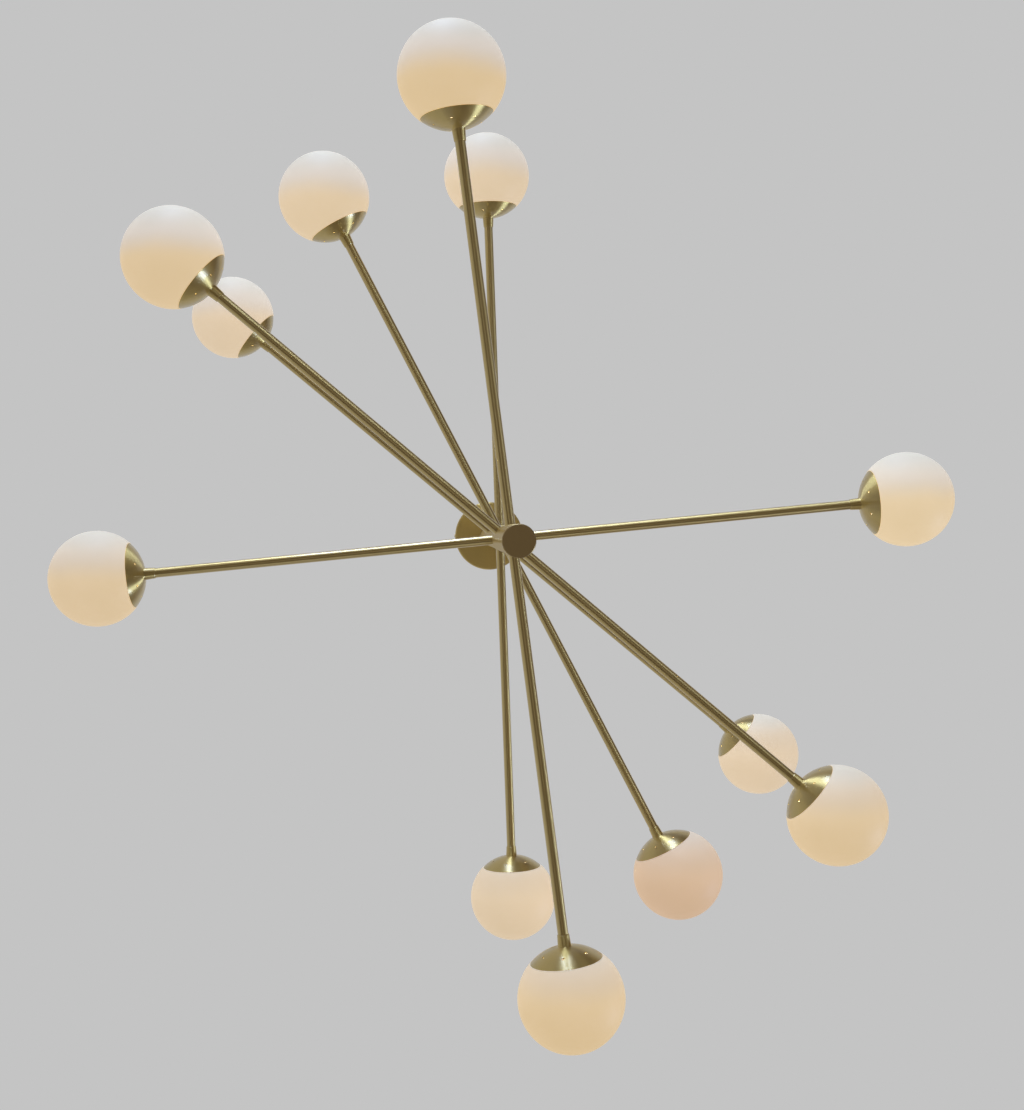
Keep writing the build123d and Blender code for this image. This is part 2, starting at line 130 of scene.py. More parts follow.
def coat(node, material):
    """Gives a CAD node its finish."""
    node.data.materials.clear()
    node.data.materials.append(material)


def zinc_plate(name, light, dark, fleck_scale, roughness):
    """Plated steel: small flecks of slightly different brightness, with faint handling marks."""
    zinc = Finish(name, Metallic=1.0)
    flecks = zinc.node("TexVoronoi", {}, {"Vector": zinc.place(), "Scale": fleck_scale}, output=1)
    fleck = zinc.node("SeparateColor", {}, {0: flecks})
    marks = zinc.grain(60.0, detail=5.0)
    share = fleck * 0.45 + marks * 0.5
    return zinc.show(
        Base_Color=zinc.tint(share, dark, light),
        Roughness=fleck * 0.12 + marks * 0.12 + (roughness - 0.12),
        Normal=zinc.bump(zinc.grain(900.0), 0.00002),
    )


zinc_steel = zinc_plate("zinc_steel", (0.70, 0.71, 0.70), (0.46, 0.47, 0.47), 420.0, 0.42)
for name in ("ceiling_bracket", "spindle_nuts", "spindle"):
    coat(nodes[name], zinc_steel)


# ---- earth screw and supply wires ---------------------------------------------------------
# A green-dyed steel screw takes the earth wire. Six pairs of insulated wires, one black and one
# white to each pair, run up inside the spindle and are trimmed for joining under the canopy.

earth = Finish("earth_screw_green", Metallic=0.6)
earth_marks = earth.grain(700.0)
coat(nodes["earth_screw"], earth.show(
    Base_Color=earth.tint(earth_marks, (0.03, 0.20, 0.06), (0.07, 0.34, 0.12)),
    Roughness=earth_marks * 0.2 + 0.25,
))

WIRE_PAIRS = 6

wire = Finish("wire_insulation")
wire_spot = wire.place()
wire_turn = wire.node("Math", {"operation": "ARCTAN2"}, {
    0: wire.node("SeparateXYZ", {}, {0: wire_spot}, output=1),
    1: wire.node("SeparateXYZ", {}, {0: wire_spot}, output=0),
})
wire_pair = wire.node("Math", {"operation": "COSINE"}, {0: wire_turn * WIRE_PAIRS})
wire_scuff = wire.grain(500.0)
coat(nodes["supply_wires"], wire.show(
    Base_Color=wire.tint(wire.step(wire_pair, -0.2, 0.2), (0.03, 0.03, 0.03), (0.78, 0.76, 0.70)),
    Roughness=wire_scuff * 0.2 + 0.35,
))


# ---- canopy and its side screws -----------------------------------------------------------
# A plain pan spun from brass sheet, brushed round its axis and lacquered, with a rounded edge and
# a hole for the column. Two slotted brass screws hold it to the tabs of the crossbar.

MM = 0.001
CANOPY_RADIUS = 68.0
CANOPY_DEPTH = 30.0
CANOPY_WALL = 1.2
CANOPY_EDGE = 4.0
CANOPY_EASE = 0.25
CANOPY_HOLE = 17.9
SCREW_LEVEL = -13.5
SCREW_RADIUS = 2.0
SCREW_LENGTH = 9.5
SCREW_POINT = 0.3
SCREW_HEAD_RADIUS = 3.5
SCREW_HEAD_HEIGHT = 1.6
SLOT_LENGTH = 12.0
SLOT_WIDTH = 1.0
SLOT_DEPTH = 0.8


def arc(centre, radius, start, end, steps):
    """Points of an arc in an outline, in millimetres and degrees."""
    turn = [math.radians(start + (end - start) * n / steps) for n in range(steps + 1)]
    return [(centre[0] + radius * math.cos(a), centre[1] + radius * math.sin(a)) for a in turn]


def eased(outline, width, steps=3):
    """The outline with each sharp corner off the axis eased by a small curve."""
    points = []
    for n, corner in enumerate(outline):
        here = Vector(corner)
        before = Vector(outline[n - 1]) - here
        after = Vector(outline[(n + 1) % len(outline)]) - here
        if corner[0] < 1e-6 or before.angle(after) > math.radians(150):
            points.append(corner)
            continue
        start = here + before.normalized() * min(width, 0.4 * before.length)
        end = here + after.normalized() * min(width, 0.4 * after.length)
        for k in range(steps + 1):
            t = k / steps
            bend = start * (1 - t) ** 2 + here * 2 * t * (1 - t) + end * t ** 2
            points.append(tuple(bend))
    return points


def spin(mesh, outline, segments, left_out=lambda row, column: False):
    """Spins a closed outline of (radius, height) in millimetres about Z, and returns its rings."""
    rings = []
    for radius, height in outline:
        if radius < 1e-6:
            rings.append([mesh.verts.new((0, 0, height * MM))])
            continue
        ring = []
        for k in range(segments):
            a = 2 * math.pi * k / segments
            spot = (radius * MM * math.cos(a), radius * MM * math.sin(a), height * MM)
            ring.append(mesh.verts.new(spot))
        rings.append(ring)
    for row, ring in enumerate(rings):
        other = rings[(row + 1) % len(rings)]
        for k in range(segments):
            if left_out(row, k) or len(ring) == len(other) == 1:
                continue
            corners = [ring[k % len(ring)], ring[(k + 1) % len(ring)]]
            corners += [other[(k + 1) % len(other)], other[k % len(other)]]
            mesh.faces.new(list(dict.fromkeys(corners)))
    return rings


def settle(mesh, name, sharp=40.0):
    """Turns a mesh being built into mesh data, smooth except at its sharp edges."""
    bmesh.ops.recalc_face_normals(mesh, faces=mesh.faces)
    data = bpy.data.meshes.new(name)
    mesh.to_mesh(data)
    mesh.free()
    data.polygons.foreach_set("use_smooth", [True] * len(data.polygons))
    data.set_sharp_from_angle(angle=math.radians(sharp))
    return data


def turned(name, outlines, segments=128):
    """Mesh data of one or more turned shapes on the Z axis."""
    mesh = bmesh.new()
    for outline in outlines:
        spin(mesh, outline, segments)
    return settle(mesh, name)


def fit(name, data, material, body, replaced, place=Matrix.Identity(4)):
    """Puts a finished piece in its place on its body, for the CAD node that it stands for."""
    if not data.materials:
        data.materials.append(material)
    piece = bpy.data.objects.new(name, data)
    bpy.context.scene.collection.objects.link(piece)
    piece.matrix_world = place
    even = piece.modifiers.new("even_normals", "WEIGHTED_NORMAL")
    even.keep_sharp = True
    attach(piece, body)
    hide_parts(replaced)


def spun_brass(name, light, deep, roughness, lines=12.0, line_depth=0.000002, patchy=1.0, **other):
    """Brass brushed round the piece's own Z axis: rings, soft smears and lines across the rings."""
    fixed = {"Metallic": 1.0, "Anisotropic": 1.0, "Anisotropic_Rotation": 0.25}
    fixed |= {"Coat_Weight": 0.8, "Coat_Roughness": 0.2}
    brass = Finish(name, **(fixed | other))
    spot = brass.place()
    flat = brass.node("VectorMath", {"operation": "MULTIPLY"}, {0: spot, 1: (1.0, 1.0, 0.0)})
    radius = brass.node("VectorMath", {"operation": "LENGTH"}, {0: flat}, output=1)
    along = radius + brass.node("SeparateXYZ", {}, {0: spot}, output=2)
    heading = brass.node("VectorMath", {"operation": "NORMALIZE"}, {0: flat})

    def brushed(around, across, detail):
        """Noise with so many waves in a turn's radian and in a metre across the rings."""
        return brass.grain(1.0, brass.node("CombineXYZ", {}, {
            0: brass.node("SeparateXYZ", {}, {0: heading}, output=0) * around,
            1: brass.node("SeparateXYZ", {}, {0: heading}, output=1) * around,
            2: along * across,
        }), detail=detail)

    rings = brushed(0.5, 420.0, 4.0)
    streaks = brushed(lines, 9.0, 2.0)
    smears = brass.grain(38.0, detail=5.0, rough=0.6)
    share = rings * 0.45 + smears * 0.35 + streaks * 0.25
    return brass.show(
        Base_Color=brass.tint(share, deep, light),
        Roughness=(rings * 0.06 + smears * 0.08 - 0.07) * patchy + roughness,
        Normal=brass.bump(streaks, line_depth),
    )


canopy_outline = (
    [(CANOPY_HOLE, -CANOPY_DEPTH)]
    + arc((CANOPY_RADIUS - CANOPY_EDGE, -CANOPY_DEPTH + CANOPY_EDGE), CANOPY_EDGE, -90, 0, 8)
    + [(CANOPY_RADIUS, 0), (CANOPY_RADIUS - CANOPY_WALL, 0)]
    + arc((CANOPY_RADIUS - CANOPY_EDGE, -CANOPY_DEPTH + CANOPY_EDGE),
          CANOPY_EDGE - CANOPY_WALL, 0, -90, 8)
    + [(CANOPY_HOLE, -CANOPY_DEPTH + CANOPY_WALL)]
)
canopy_brass = spun_brass("canopy_brass", (0.85, 0.65, 0.23), (0.70, 0.525, 0.165), 0.42)
fit("canopy_pan", turned("canopy_pan", [eased(canopy_outline, CANOPY_EASE, steps=2)], segments=160),
    canopy_brass, "column", "canopy")

screw_brass = spun_brass("screw_brass", (0.66, 0.50, 0.20), (0.54, 0.39, 0.14), 0.26)


def slotted_screw():
    """Pan-head screw on Z with its head's underside at the origin, and a slot cut in the head."""
    shank = [
        (0, -SCREW_LENGTH),
        (SCREW_RADIUS - SCREW_POINT, -SCREW_LENGTH),
        (SCREW_RADIUS, SCREW_POINT - SCREW_LENGTH),
        (SCREW_RADIUS, 0),
    ]
    head = [(SCREW_HEAD_RADIUS, 0), (SCREW_HEAD_RADIUS, 0.7), (3.2, 1.2), (2.6, 1.5)]
    head += [(1.6, SCREW_HEAD_HEIGHT), (0, SCREW_HEAD_HEIGHT)]
    mesh = bmesh.new()
    spin(mesh, shank + head, 48)
    data = settle(mesh, "canopy_screw")
    cutter_size = (SLOT_LENGTH * MM, SLOT_WIDTH * MM, 2 * SLOT_DEPTH * MM, 1)
    cutter_mesh = bmesh.new()
    bmesh.ops.create_cube(cutter_mesh, size=1.0, matrix=Matrix.Diagonal(cutter_size))
    cutter_data = bpy.data.meshes.new("slot_cutter")
    cutter_mesh.to_mesh(cutter_data)
    cutter_mesh.free()
    cutter = bpy.data.objects.new("slot_cutter", cutter_data)
    cutter.matrix_world = Matrix.Translation((0, 0, SCREW_HEAD_HEIGHT * MM))
    screw = bpy.data.objects.new("screw_blank", data)
    for item in (cutter, screw):
        bpy.context.scene.collection.objects.link(item)
    slot = screw.modifiers.new("slot", "BOOLEAN")
    slot.operation = "DIFFERENCE"
    slot.object = cutter
    bpy.context.view_layer.update()
    depsgraph = bpy.context.evaluated_depsgraph_get()
    cut = bpy.data.meshes.new_from_object(screw.evaluated_get(depsgraph))
    cut.name = "canopy_screw_cut"
    for item in (cutter, screw):
        bpy.data.objects.remove(item)
    cut.materials.clear()
    return cut


screw_data = slotted_screw()
for number, side in ((1, 1), (2, -1)):
    facing = Matrix.Rotation(side * math.pi / 2, 4, "Y")
    spot = Matrix.Translation((side * CANOPY_RADIUS * MM, 0, SCREW_LEVEL * MM))
    fit(f"canopy_screw_{number}", screw_data, screw_brass, "column", "canopy_screws",
        spot @ facing)


# ---- column tubes -------------------------------------------------------------------------
# Round brass tube, brushed round and lacquered. One long tube hangs from the ceiling fixing,
# five short ones keep the pairs of arms apart, and one closes the column below them.

COLUMN_RADIUS = 17.5
COLUMN_BORE = 15.5
WEB_BORE = 8.1
WEB = 4.0
EDGE_EASE = 0.35
TIERS = "abcdef"
TIER_PITCH = 131.0
TOP_TIER = -725.0
HUB_HALF = 18.0
HUB_ROOM = 18.55               # half a hub, a washer and their clearances
COLUMN_TOP = -19.5
COLUMN_BOTTOM = -1594.0


def tier_level(number):
    """Height of a pair of arms in millimetres, counted from the lowest."""
    return TOP_TIER - (len(TIERS) - 1 - number) * TIER_PITCH


def tube_outline(bottom, top, bottom_web=True):
    """Column tube with bored webs at its ends."""
    outline = [(WEB_BORE, top), (COLUMN_RADIUS, top), (COLUMN_RADIUS, bottom)]
    if bottom_web:
        outline += [(WEB_BORE, bottom), (WEB_BORE, bottom + WEB), (COLUMN_BORE, bottom + WEB)]
    else:
        outline += [(COLUMN_BORE, bottom)]
    outline += [(COLUMN_BORE, top - WEB), (WEB_BORE, top - WEB)]
    return eased(outline, EDGE_EASE)


column_brass = spun_brass("column_brass", (0.60, 0.46, 0.20), (0.50, 0.37, 0.14), 0.36, lines=6.0,
                          Specular_Tint=(0.80, 0.70, 0.50), Coat_Weight=0.3)
lowest_room = tier_level(0) - HUB_ROOM
highest_room = tier_level(len(TIERS) - 1) + HUB_ROOM
spacers = [
    tube_outline(tier_level(n) + HUB_ROOM, tier_level(n + 1) - HUB_ROOM)
    for n in range(len(TIERS) - 1)
]
fit("upper_column_tube", turned("upper_column_tube", [tube_outline(highest_room, COLUMN_TOP)]),
    column_brass, "column", "upper_column")
fit("spacer_tubes", turned("spacer_tubes", spacers), column_brass, "column",
    "column_spacers")
fit("lower_column_tube",
    turned("lower_column_tube", [tube_outline(COLUMN_BOTTOM, lowest_room, False)]),
    column_brass, "column", "lower_column")


# ---- friction washers ---------------------------------------------------------------------
# Thin washers punched from natural nylon sheet. One lies above and one below each turning hub
# and holds the arms where a hand has put them.

nylon = Finish("washer_nylon")
nylon_cloud = nylon.grain(220.0, detail=4.0)
coat(nodes["friction_washers"], nylon.show(
    Base_Color=nylon.tint(nylon_cloud, (0.58, 0.56, 0.48), (0.74, 0.72, 0.66)),
    Roughness=nylon_cloud * 0.15 + 0.42,
))


# ---- bottom cap ---------------------------------------------------------------------------
# A solid disc turned from brass bar, darkened and brushed flat, with a small bevel. Its spigot
# closes the lowest tube and its boss takes the end of the spindle.

CAP_BOTTOM = -1598.0
CAP_BEVEL = 0.8
CAP_EASE = 0.15
SPIGOT_RADIUS = 15.4
SPIGOT_LENGTH = 3.0
BOSS_RADIUS = 12.1
BOSS_LENGTH = 12.0
BOSS_BORE = 8.1

cap_outline = [
    (0, CAP_BOTTOM),
    (COLUMN_RADIUS - CAP_BEVEL, CAP_BOTTOM),
    (COLUMN_RADIUS, CAP_BOTTOM + CAP_BEVEL),
    (COLUMN_RADIUS, COLUMN_BOTTOM),
    (SPIGOT_RADIUS, COLUMN_BOTTOM),
    (SPIGOT_RADIUS, COLUMN_BOTTOM + SPIGOT_LENGTH),
    (BOSS_RADIUS, COLUMN_BOTTOM + SPIGOT_LENGTH),
    (BOSS_RADIUS, COLUMN_BOTTOM + BOSS_LENGTH),
    (BOSS_BORE, COLUMN_BOTTOM + BOSS_LENGTH),
    (BOSS_BORE, COLUMN_BOTTOM),
    (0, COLUMN_BOTTOM),
]
dark_bronze = spun_brass("dark_bronze", (0.39, 0.28, 0.13), (0.30, 0.215, 0.10), 0.48, Anisotropic=0.0,
                         Coat_Weight=0.0)
fit("bottom_cap_disc", turned("bottom_cap_disc", [eased(cap_outline, CAP_EASE, steps=2)]),
    dark_bronze, "column", "bottom_cap")


# ---- turning hubs -------------------------------------------------------------------------
# Brass collars turned to the width of the column. Each runs on the spindle between two washers,
# has a wire chamber inside and takes the threaded ends of two arms.

HUB_BORE = 8.05
CHAMBER_RADIUS = 11.0
CHAMBER_HALF = 8.0

hub_outline = [
    (HUB_BORE, HUB_HALF),
    (COLUMN_RADIUS, HUB_HALF),
    (COLUMN_RADIUS, -HUB_HALF),
    (HUB_BORE, -HUB_HALF),
    (HUB_BORE, -CHAMBER_HALF),
    (CHAMBER_RADIUS, -CHAMBER_HALF),
    (CHAMBER_RADIUS, CHAMBER_HALF),
    (HUB_BORE, CHAMBER_HALF),
]
hub_data = turned("hub_collar", [eased(hub_outline, EDGE_EASE)])
for number, tier in enumerate(TIERS):
    fit(f"hub_{tier}", hub_data, column_brass, "tier_" + tier, f"tier_{tier}_hub",
        Matrix.Translation((0, 0, tier_level(number) * MM)))


# ---- arms ---------------------------------------------------------------------------------
# Straight half-inch brass tubes, drawn smooth, polished round and lacquered. A threaded nipple
# is brazed into each end: one screws into the hub, the other through the cup into the lampholder.

TIER_ANGLES = [82.6, 40.0, -5.6, 62.4, 87.9, 39.7]    # degrees, from the lowest pair up
ARM_RADIUS = 6.25
ARM_START = 15.3
ARM_END = 468.3
ARM_EASE = 0.3
NIPPLE_RADIUS = 5.0
NIPPLE_BORE = 3.5
NIPPLE_START = 11.3
NIPPLE_END = 485.5

arm_outline = [
    (NIPPLE_BORE, NIPPLE_START),
    (NIPPLE_RADIUS, NIPPLE_START),
    (NIPPLE_RADIUS, ARM_START),
    (ARM_RADIUS, ARM_START),
    (ARM_RADIUS, ARM_END),
    (NIPPLE_RADIUS, ARM_END),
    (NIPPLE_RADIUS, NIPPLE_END),
    (NIPPLE_BORE, NIPPLE_END),
]


def outward(number, side, distance=0.0):
    """Places local Z along one arm of a pair, local X down, at a distance from the column."""
    a = math.radians(TIER_ANGLES[number] + 180 * side)
    along = Vector((math.cos(a), math.sin(a), 0))
    turned_frame = Matrix((Vector((0, 0, -1)), Vector((-math.sin(a), math.cos(a), 0)), along))
    spot = along * distance * MM + Vector((0, 0, tier_level(number) * MM))
    return Matrix.Translation(spot) @ turned_frame.transposed().to_4x4()


arm_brass = spun_brass("arm_brass", (0.55, 0.425, 0.175), (0.50, 0.38, 0.145), 0.29, line_depth=0.0,
                       patchy=0.1, Coat_Roughness=0.1)
arm_data = turned("arm_tube", [eased(arm_outline, ARM_EASE)], segments=64)
for number, tier in enumerate(TIERS):
    for side in (0, 1):
        fit(f"arm_{tier}{side + 1}", arm_data, arm_brass, "tier_" + tier,
            f"tier_{tier}_arms", outward(number, side))


# ---- cups ---------------------------------------------------------------------------------
# Each globe sits in a cap spun from brass sheet, with six round vents. A short tapered neck is
# brazed to its pole and slips over the end of the arm. The inside has a thin coat of nickel, so
# the light in the vents is almost white.

ARM_REACH = 535.0
CUP_RADIUS = 62.2
CUP_POLARS = (8.51, 42.62)     # degrees from the neck's axis, at the neck and at the rim
CUP_INNER = 61.0
CUP_INNER_POLARS = (13.56, 41.57)
CUP_SEGMENTS = 144
RIM_HEIGHT = 45.64
NECK_END = -75.7
NECK_BORE = 6.35
SOCKET_END = -66.7
CUP_FLOOR = -59.3
NIPPLE_HOLE = 5.1
VENT_RADIUS = 1.3
VENT_EASE = 0.15
VENT_POLAR = 27.5
VENTS = 6
VENT_TURNS = [(8, 45), (36, 26), (30, 30), (22, 38), (16, 44), (12, 30)]    # degrees
ROWS_BELOW = 12
ROWS_ABOVE = 10
PATCH = 3                      # half the width of the square patch round a vent, in segments
PATCH_HALF = PATCH * 2 * math.pi / CUP_SEGMENTS * math.sin(math.radians(VENT_POLAR))


def on_cup(radius, polar):
    """Outline point on a sphere about the globe's centre, counted in degrees from the neck."""
    a = math.radians(polar)
    return (radius * math.sin(a), -radius * math.cos(a))


def cup_skin(first, last):
    """Rows of polar angles from first to last, with even rows across the band of vents."""
    half = math.degrees(PATCH_HALF)
    band = [VENT_POLAR + half * n / PATCH for n in range(-PATCH, PATCH + 1)]
    below = [first + (band[0] - first) * n / ROWS_BELOW for n in range(ROWS_BELOW)]
    above = [band[-1] + (last - band[-1]) * (n + 1) / ROWS_ABOVE for n in range(ROWS_ABOVE)]
    return below + band + above


def cup_mesh():
    """The cup with real vents: two spun skins, with a round hole in each square patch."""
    outer = [on_cup(CUP_RADIUS, polar) for polar in cup_skin(*CUP_POLARS)]
    inner = [on_cup(CUP_INNER, polar) for polar in reversed(cup_skin(*CUP_INNER_POLARS))]
    neck = [(NECK_BORE, NECK_END), (6.5, NECK_END), (7.0, NECK_END + 0.5), (7.926, -62.7)]
    fillet = [(8.04, -62.05), (8.42, -61.72)]
    rim = [(42.16, -RIM_HEIGHT - 0.06), (42.02, -RIM_HEIGHT)]
    socket = [(NIPPLE_HOLE, CUP_FLOOR), (NIPPLE_HOLE, SOCKET_END), (NECK_BORE, SOCKET_END)]
    outline = neck + fillet + outer + rim + inner + socket
    outer_band = len(neck + fillet) + ROWS_BELOW
    inner_band = len(neck + fillet + outer + rim) + ROWS_ABOVE
    spacing = CUP_SEGMENTS // VENTS

    def in_patch(row, column):
        at_vent = (column - spacing // 2 + PATCH) % spacing < 2 * PATCH
        return at_vent and any(0 <= row - band < 2 * PATCH for band in (outer_band, inner_band))

    mesh = bmesh.new()
    rings = spin(mesh, outline, CUP_SEGMENTS, in_patch)
    steps = range(2 * PATCH)
    square = [(n, 0) for n in steps] + [(2 * PATCH, n) for n in steps]
    square += [(2 * PATCH - n, 2 * PATCH) for n in steps] + [(0, 2 * PATCH - n) for n in steps]
    for vent in range(VENTS):
        middle = spacing // 2 + vent * spacing

        def loop(radius, share, hole):
            """Points between the hole's edge at share 0 and the patch's border at share 1."""
            spots = []
            for across, up in square:
                u, v = across - PATCH, up - PATCH
                patch_edge = Vector((u, v)) * PATCH_HALF * CUP_RADIUS / PATCH
                hole_edge = Vector((u, v)).normalized() * hole
                flat = hole_edge.lerp(patch_edge, share)
                polar = math.radians(VENT_POLAR) + flat.y / CUP_RADIUS
                turn = 2 * math.pi * middle / CUP_SEGMENTS + flat.x / CUP_RADIUS / math.sin(polar)
                r, z = on_cup(radius, math.degrees(polar))
                spot = Vector((r * math.cos(turn), r * math.sin(turn), z)) * MM
                spots.append(mesh.verts.new(spot))
            return spots

        def border(band, flip):
            return [
                rings[band + (2 * PATCH - up if flip else up)][(middle - PATCH + across) % CUP_SEGMENTS]
                for across, up in square
            ]

        loops = [border(outer_band, False)]
        loops += [loop(CUP_RADIUS, 0.5, VENT_RADIUS + VENT_EASE)]
        loops += [loop(CUP_RADIUS, 0, VENT_RADIUS + VENT_EASE)]
        loops += [loop(CUP_RADIUS - VENT_EASE, 0, VENT_RADIUS)]
        loops += [loop(CUP_INNER, 0, VENT_RADIUS), loop(CUP_INNER, 0.5, VENT_RADIUS)]
        loops += [border(inner_band, True)]
        for near, far in zip(loops, loops[1:]):
            for n in range(len(square)):
                following = (n + 1) % len(square)
                mesh.faces.new((near[n], near[following], far[following], far[n]))
    return settle(mesh, "cup")


cup_brass = spun_brass("cup_brass", (0.72, 0.56, 0.215), (0.60, 0.455, 0.155), 0.47)
nickel = Finish("cup_inside", Metallic=1.0)
nickel_cloud = nickel.grain(60.0, detail=4.0)
cup_inside = nickel.show(
    Base_Color=nickel.tint(nickel_cloud, (0.84, 0.80, 0.72), (0.90, 0.87, 0.80)),
    Roughness=nickel_cloud * 0.1 + 0.4,
)
cup_data = cup_mesh()
cup_data.materials.append(cup_brass)
cup_data.materials.append(cup_inside)
inner_reach = (CUP_INNER + 0.05) * MM
for face in cup_data.polygons:
    if face.center.length < inner_reach:
        face.material_index = 1
for number, tier in enumerate(TIERS):
    for side in (0, 1):
        turn = math.radians(VENT_TURNS[number][side] - 180 / VENTS)
        fit(f"cup_{tier}{side + 1}", cup_data, cup_brass, "tier_" + tier,
            f"tier_{tier}_cups", outward(number, side, ARM_REACH) @ Matrix.Rotation(turn, 4, "Z"))


# ---- spring clips, lampholders and lamps --------------------------------------------------
# A three-armed clip of spring steel holds the glass neck. A glazed ceramic holder screws on the
# nipple over it, and takes a frosted two-pin capsule lamp, which is lit.

spring_steel = zinc_plate("spring_steel", (0.50, 0.50, 0.51), (0.30, 0.30, 0.32), 900.0, 0.34)

porcelain = Finish("porcelain_glaze", Coat_Weight=0.4, Coat_Roughness=0.08)
glaze = porcelain.grain(180.0, detail=4.0)
porcelain_glaze = porcelain.show(
    Base_Color=porcelain.tint(glaze, (0.72, 0.69, 0.62), (0.86, 0.84, 0.78)),
    Roughness=glaze * 0.15 + 0.22,
)

capsule = Finish("capsule_lamp", Roughness=0.4, Emission_Strength=26.0)
frost = capsule.grain(400.0)
capsule_lamp = capsule.show(
    Base_Color=capsule.tint(frost, (0.80, 0.74, 0.62), (0.90, 0.85, 0.75)),
    Emission_Color=capsule.tint(frost, (1.0, 0.86, 0.62), (1.0, 0.91, 0.70)),
)
for tier in TIERS:
    coat(nodes[f"tier_{tier}_globe_clips"], spring_steel)
    coat(nodes[f"tier_{tier}_lampholders"], porcelain_glaze)
    coat(nodes[f"tier_{tier}_lamps"], capsule_lamp)


# ---- globes -------------------------------------------------------------------------------
# Globes blown from opal glass and etched satin, each with a stepped neck that drops into its cup.
# The lamp's warm glow is painted on the whole wall as emission, a little cooler on the higher pairs;
# on the window's side real daylight lights the glass and a painted whiter daylight glow takes over.

GLASS_RADIUS = 62.5
GLASS_INNER = 59.5
NECK_OUTER = 60.4
NECK_INNER = 57.6
NECK_EDGE = -48.64
SHOULDER = -45.34
SHOULDER_INSIDE = -41.94


def sphere_run(radius, start, end, steps):
    """Outline points on a sphere from one height to another, to its top where end is None."""
    low = math.degrees(math.asin(start / radius))
    high = 90.0 if end is None else math.degrees(math.asin(end / radius))
    return arc((0, 0), radius, low, high, steps)


glass_outline = sphere_run(NECK_OUTER, NECK_EDGE, SHOULDER, 3)
glass_outline += sphere_run(GLASS_RADIUS, SHOULDER, None, 64)[:-1] + [(0, GLASS_RADIUS)]
glass_outline += [(0, GLASS_INNER)] + sphere_run(GLASS_INNER, SHOULDER_INSIDE, None, 48)[-2::-1]
glass_outline += sphere_run(NECK_INNER, NECK_EDGE, SHOULDER_INSIDE, 3)[::-1]


def opal_glass(name, glow_tint=(1.0, 1.0, 1.0)):
    """Opal with its lamp's glow painted in, a painted whiter daylight glow on the window's side, a
    little uneven.
    """
    opal = Finish(name, Emission_Strength=1.0, Specular_IOR_Level=0.15)
    cloud = opal.grain(26.0, detail=3.0)
    facing = opal.node("SeparateXYZ", {}, {0: opal.node("NewGeometry", output=1)}, output=1)
    spot = opal.node("NewGeometry", output=0)
    from_window = opal.node("SeparateXYZ", {}, {0: spot}, output=1)
    # Painted daylight: the glow turns whiter where the glass faces the window, at -Y, and on globes
    # nearer to it.
    lit_side = facing + from_window * 0.3 + (cloud - 0.5) * 0.12
    # Painted falloff: the glow is paler and cooler on the higher pairs.
    height = opal.step(opal.node("SeparateXYZ", {}, {0: spot}, output=2), -1.5, -0.7)
    warm = opal.tint(height, (0.515, 0.35, 0.14), (0.52, 0.385, 0.225))
    glow = opal.tint(cloud, warm, opal.tint(height, (0.555, 0.38, 0.165), (0.56, 0.415, 0.255)))
    # The painted fringe between glow and daylight is warmer on globes far from the window and paler
    # near it.
    window_end = opal.step(from_window, 0.45, -0.35)
    painted_daylight_fringe = opal.tint(window_end, (0.41, 0.29, 0.16), (0.42, 0.355, 0.295))
    glow_and_painted_fringe = opal.tint(opal.step(lit_side, 0.1, -0.5), glow, painted_daylight_fringe)
    lit = opal.tint(opal.step(lit_side, -0.4, -1.0), glow_and_painted_fringe, (0.24, 0.235, 0.215))
    return opal.show(
        Base_Color=opal.tint(cloud, (0.80, 0.78, 0.75), (0.84, 0.82, 0.79)),
        Roughness=opal.grain(90.0) * 0.08 + 0.52,
        Emission_Color=opal.node("VectorMath", {"operation": "MULTIPLY"}, {0: lit, 1: glow_tint}),
        Normal=opal.bump(opal.grain(18.0, detail=1.0), 0.0002),
    )


usual_globe = (turned("globe", [glass_outline]), opal_glass("opal_glass"))
# Two globes have their painted glow changed: dimmer and redder on d1, brighter and whiter on c1. Their
# capsule lamps are the same as the others'.
other_globes = {
    "d1": (usual_globe[0].copy(), opal_glass("opal_glass_dimmer_painted_glow", (0.84, 0.71, 0.66))),
    "c1": (usual_globe[0].copy(), opal_glass("opal_glass_brighter_painted_glow", (1.09, 1.12, 1.14))),
}
for number, tier in enumerate(TIERS):
    for side in (0, 1):
        which = f"{tier}{side + 1}"
        data, glass = other_globes.get(which, usual_globe)
        fit(f"opal_globe_{which}", data, glass, "tier_" + tier, f"globe_{which}",
            outward(number, side, ARM_REACH))


# ---- floor, lamps and background ----------------------------------------------------------
# A pale floor well below the lamp and a large soft box for daylight. Two narrow cards, a dark sheet
# on the floor and a dark curtain along one wall show in polished metal only. The sheet and curtain
# glow with painted shade, and the sheet with a painted lighter middle, so metal shows painted
# reflections.

FLOOR_LEVEL = -3.3
FLOOR_RADIUS = 14.0


def sheet_of(name, radius, level):
    """A flat round sheet."""
    mesh = bmesh.new()
    bmesh.ops.create_circle(mesh, cap_ends=True, segments=96, radius=radius)
    data = bpy.data.meshes.new(name)
    mesh.to_mesh(data)
    mesh.free()
    made = bpy.data.objects.new(name, data)
    made.location = (0, 0, level)
    bpy.context.scene.collection.objects.link(made)
    return made


